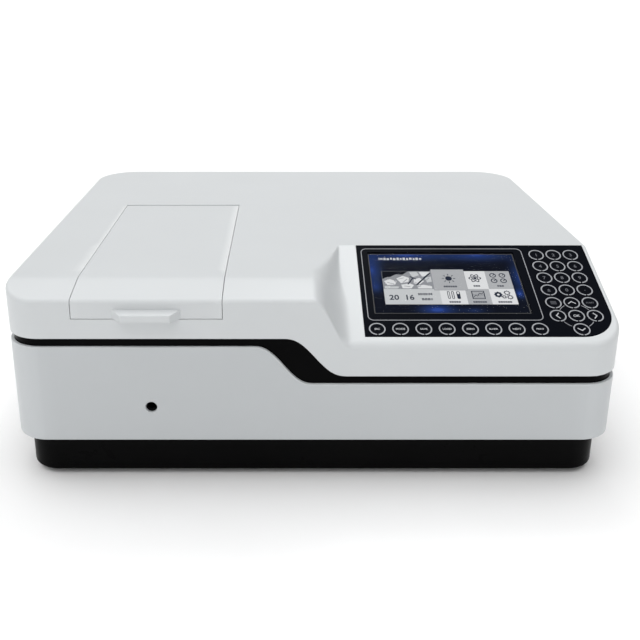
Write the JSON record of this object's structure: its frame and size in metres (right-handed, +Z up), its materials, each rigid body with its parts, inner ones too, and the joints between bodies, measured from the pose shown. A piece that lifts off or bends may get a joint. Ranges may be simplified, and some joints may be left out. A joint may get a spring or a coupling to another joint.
{
  "type": "spectrophotometer",
  "caption": "Wide benchtop spectrophotometer with a hinged sample lid, sloped display and key panel, black trim band and inset base.",
  "frame": {"origin": "centre of the footprint, on the table under the feet", "axes": "+X to the right along the front, +Y from the front towards the rear, +Z up"},
  "size_m": [0.59, 0.5, 0.2],
  "materials": {
    "base_black": "fine grain",
    "foot_rubber": "matte",
    "case_light": "fine moulded texture",
    "trim_black": "smooth satin",
    "screw_steel": "zinc plated",
    "pin_steel": "ground",
    "seal_foam": "closed-cell foam",
    "panel_gloss": "glossy with printed silver lines",
    "window_glass": "clear",
    "lcd_body": "lit display",
    "board_green": "solder mask",
    "key_black": "glossy with printed silver ring",
    "rear_paint": "powder coat",
    "inlet_black": "moulded",
    "switch_black": "moulded",
    "fan_black": "moulded",
    "sheet_steel": "zinc plated sheet",
    "bench_alu": "cast and milled",
    "bay_black": "flat black",
    "carriage_black": "black anodised",
    "motor_paint": "black",
    "mono_black": "flat black casting",
    "turret_alu": "machined",
    "lamp_glass": "quartz envelope",
    "mirror_coat": "coated glass"
  },
  "bodies": {
    "case": {"base_tray": "base_black", "feet": "foot_rubber", "lower_housing": "case_light", "trim_band": "trim_black", "upper_cover": "case_light", "case_screws": "screw_steel", "hinge_pins": "pin_steel", "lid_seal": "seal_foam", "control_panel": "panel_gloss", "display_window": "window_glass", "lcd_module": "lcd_body", "keypad_board": "board_green", "rear_panel": "rear_paint", "power_inlet": "inlet_black", "fan_frame": "fan_black", "main_board": "board_green", "power_supply": "sheet_steel", "optical_bench": "bench_alu", "sample_chamber": "bay_black", "carriage_rails": "pin_steel", "carriage_motor": "motor_paint", "monochromator": "mono_black", "lamp_house": "sheet_steel", "deuterium_lamp": "lamp_glass", "tungsten_lamp": "lamp_glass", "detector_head": "mono_black"},
    "lid": {"sample_lid": "case_light"},
    "rocker": {"power_switch": "switch_black"},
    "fan_rotor": {"fan_rotor": "fan_black"},
    "carriage": {"cell_carriage": "carriage_black"},
    "lead_screw": {"carriage_screw": "pin_steel"},
    "grating": {"grating_turret": "turret_alu"},
    "mirror": {"source_mirror": "mirror_coat"},
    "fn_key_1": {"fn_key_1": "key_black"},
    "fn_key_2": {"fn_key_2": "key_black"},
    "fn_key_3": {"fn_key_3": "key_black"},
    "fn_key_4": {"fn_key_4": "key_black"},
    "fn_key_5": {"fn_key_5": "key_black"},
    "fn_key_6": {"fn_key_6": "key_black"},
    "fn_key_7": {"fn_key_7": "key_black"},
    "fn_key_8": {"fn_key_8": "key_black"},
    "pad_key_1": {"pad_key_1": "key_black"},
    "pad_key_2": {"pad_key_2": "key_black"},
    "pad_key_3": {"pad_key_3": "key_black"},
    "pad_key_4": {"pad_key_4": "key_black"},
    "pad_key_5": {"pad_key_5": "key_black"},
    "pad_key_6": {"pad_key_6": "key_black"},
    "pad_key_7": {"pad_key_7": "key_black"},
    "pad_key_8": {"pad_key_8": "key_black"},
    "pad_key_9": {"pad_key_9": "key_black"},
    "pad_key_10": {"pad_key_10": "key_black"},
    "pad_key_11": {"pad_key_11": "key_black"},
    "pad_key_12": {"pad_key_12": "key_black"},
    "pad_key_13": {"pad_key_13": "key_black"},
    "pad_key_14": {"pad_key_14": "key_black"},
    "pad_key_15": {"pad_key_15": "key_black"},
    "pad_key_16": {"pad_key_16": "key_black"},
    "pad_key_17": {"pad_key_17": "key_black"},
    "pad_key_18": {"pad_key_18": "key_black"},
    "pad_key_19": {"pad_key_19": "key_black"}
  },
  "joints": [
    {"name": "lid_hinge", "type": "hinge", "parent": "case", "child": "lid", "pos_m": [-0.157, 0.056, 0.194], "axis": [-1, 0, 0], "range_deg": [0, 95]},
    {"name": "carriage_slide", "type": "slide", "parent": "case", "child": "carriage", "axis": [0, 1, 0], "range_m": [-0.036, 0.036]},
    {"name": "screw_turn", "type": "hinge", "parent": "case", "child": "lead_screw", "pos_m": [-0.157, 0, 0.068], "axis": [0, 1, 0], "range_deg": [-660, 660]},
    {"name": "grating_turn", "type": "hinge", "parent": "case", "child": "grating", "pos_m": [0.02, -0.05, 0.06], "axis": [0, 0, 1], "range_deg": [-35, 35]},
    {"name": "mirror_turn", "type": "hinge", "parent": "case", "child": "mirror", "pos_m": [0.18, -0.08, 0.06], "axis": [0, 0, 1], "range_deg": [-50, 50]},
    {"name": "fan_spin", "type": "hinge", "parent": "case", "child": "fan_rotor", "pos_m": [-0.201, 0.232, 0.096], "axis": [0, 1, 0], "continuous": true},
    {"name": "switch_rock", "type": "hinge", "parent": "case", "child": "rocker", "pos_m": [0.164, 0.2435, 0.077], "axis": [-1, 0, 0], "range_deg": [0, 16]},
    {"name": "fn_key_1_press", "type": "slide", "parent": "case", "child": "fn_key_1", "axis": [0, 0.3665, -0.9304], "range_m": [0, 0.0005], "stiffness_N_per_m": 1500},
    {"name": "fn_key_2_press", "type": "slide", "parent": "case", "child": "fn_key_2", "axis": [0, 0.3665, -0.9304], "range_m": [0, 0.0005], "stiffness_N_per_m": 1500},
    {"name": "fn_key_3_press", "type": "slide", "parent": "case", "child": "fn_key_3", "axis": [0, 0.3665, -0.9304], "range_m": [0, 0.0005], "stiffness_N_per_m": 1500},
    {"name": "fn_key_4_press", "type": "slide", "parent": "case", "child": "fn_key_4", "axis": [0, 0.3665, -0.9304], "range_m": [0, 0.0005], "stiffness_N_per_m": 1500},
    {"name": "fn_key_5_press", "type": "slide", "parent": "case", "child": "fn_key_5", "axis": [0, 0.3665, -0.9304], "range_m": [0, 0.0005], "stiffness_N_per_m": 1500},
    {"name": "fn_key_6_press", "type": "slide", "parent": "case", "child": "fn_key_6", "axis": [0, 0.3665, -0.9304], "range_m": [0, 0.0005], "stiffness_N_per_m": 1500},
    {"name": "fn_key_7_press", "type": "slide", "parent": "case", "child": "fn_key_7", "axis": [0, 0.3665, -0.9304], "range_m": [0, 0.0005], "stiffness_N_per_m": 1500},
    {"name": "fn_key_8_press", "type": "slide", "parent": "case", "child": "fn_key_8", "axis": [0, 0.3665, -0.9304], "range_m": [0, 0.0005], "stiffness_N_per_m": 1500},
    {"name": "pad_key_1_press", "type": "slide", "parent": "case", "child": "pad_key_1", "axis": [0, 0.3665, -0.9304], "range_m": [0, 0.0005], "stiffness_N_per_m": 1500},
    {"name": "pad_key_2_press", "type": "slide", "parent": "case", "child": "pad_key_2", "axis": [0, 0.3665, -0.9304], "range_m": [0, 0.0005], "stiffness_N_per_m": 1500},
    {"name": "pad_key_3_press", "type": "slide", "parent": "case", "child": "pad_key_3", "axis": [0, 0.3665, -0.9304], "range_m": [0, 0.0005], "stiffness_N_per_m": 1500},
    {"name": "pad_key_4_press", "type": "slide", "parent": "case", "child": "pad_key_4", "axis": [0, 0.3665, -0.9304], "range_m": [0, 0.0005], "stiffness_N_per_m": 1500},
    {"name": "pad_key_5_press", "type": "slide", "parent": "case", "child": "pad_key_5", "axis": [0, 0.3665, -0.9304], "range_m": [0, 0.0005], "stiffness_N_per_m": 1500},
    {"name": "pad_key_6_press", "type": "slide", "parent": "case", "child": "pad_key_6", "axis": [0, 0.3665, -0.9304], "range_m": [0, 0.0005], "stiffness_N_per_m": 1500},
    {"name": "pad_key_7_press", "type": "slide", "parent": "case", "child": "pad_key_7", "axis": [0, 0.3665, -0.9304], "range_m": [0, 0.0005], "stiffness_N_per_m": 1500},
    {"name": "pad_key_8_press", "type": "slide", "parent": "case", "child": "pad_key_8", "axis": [0, 0.3665, -0.9304], "range_m": [0, 0.0005], "stiffness_N_per_m": 1500},
    {"name": "pad_key_9_press", "type": "slide", "parent": "case", "child": "pad_key_9", "axis": [0, 0.3665, -0.9304], "range_m": [0, 0.0005], "stiffness_N_per_m": 1500},
    {"name": "pad_key_10_press", "type": "slide", "parent": "case", "child": "pad_key_10", "axis": [0, 0.3665, -0.9304], "range_m": [0, 0.0005], "stiffness_N_per_m": 1500},
    {"name": "pad_key_11_press", "type": "slide", "parent": "case", "child": "pad_key_11", "axis": [0, 0.3665, -0.9304], "range_m": [0, 0.0005], "stiffness_N_per_m": 1500},
    {"name": "pad_key_12_press", "type": "slide", "parent": "case", "child": "pad_key_12", "axis": [0, 0.3665, -0.9304], "range_m": [0, 0.0005], "stiffness_N_per_m": 1500},
    {"name": "pad_key_13_press", "type": "slide", "parent": "case", "child": "pad_key_13", "axis": [0, 0.3665, -0.9304], "range_m": [0, 0.0005], "stiffness_N_per_m": 1500},
    {"name": "pad_key_14_press", "type": "slide", "parent": "case", "child": "pad_key_14", "axis": [0, 0.3665, -0.9304], "range_m": [0, 0.0005], "stiffness_N_per_m": 1500},
    {"name": "pad_key_15_press", "type": "slide", "parent": "case", "child": "pad_key_15", "axis": [0, 0.3665, -0.9304], "range_m": [0, 0.0005], "stiffness_N_per_m": 1500},
    {"name": "pad_key_16_press", "type": "slide", "parent": "case", "child": "pad_key_16", "axis": [0, 0.3665, -0.9304], "range_m": [0, 0.0005], "stiffness_N_per_m": 1500},
    {"name": "pad_key_17_press", "type": "slide", "parent": "case", "child": "pad_key_17", "axis": [0, 0.3665, -0.9304], "range_m": [0, 0.0005], "stiffness_N_per_m": 1500},
    {"name": "pad_key_18_press", "type": "slide", "parent": "case", "child": "pad_key_18", "axis": [0, 0.3665, -0.9304], "range_m": [0, 0.0005], "stiffness_N_per_m": 1500},
    {"name": "pad_key_19_press", "type": "slide", "parent": "case", "child": "pad_key_19", "axis": [0, 0.3665, -0.9304], "range_m": [0, 0.0005], "stiffness_N_per_m": 1500}
  ],
  "couplings": [
    {"joint": "screw_turn", "follows": "carriage_slide", "rad_per_m": 314.16}
  ]
}
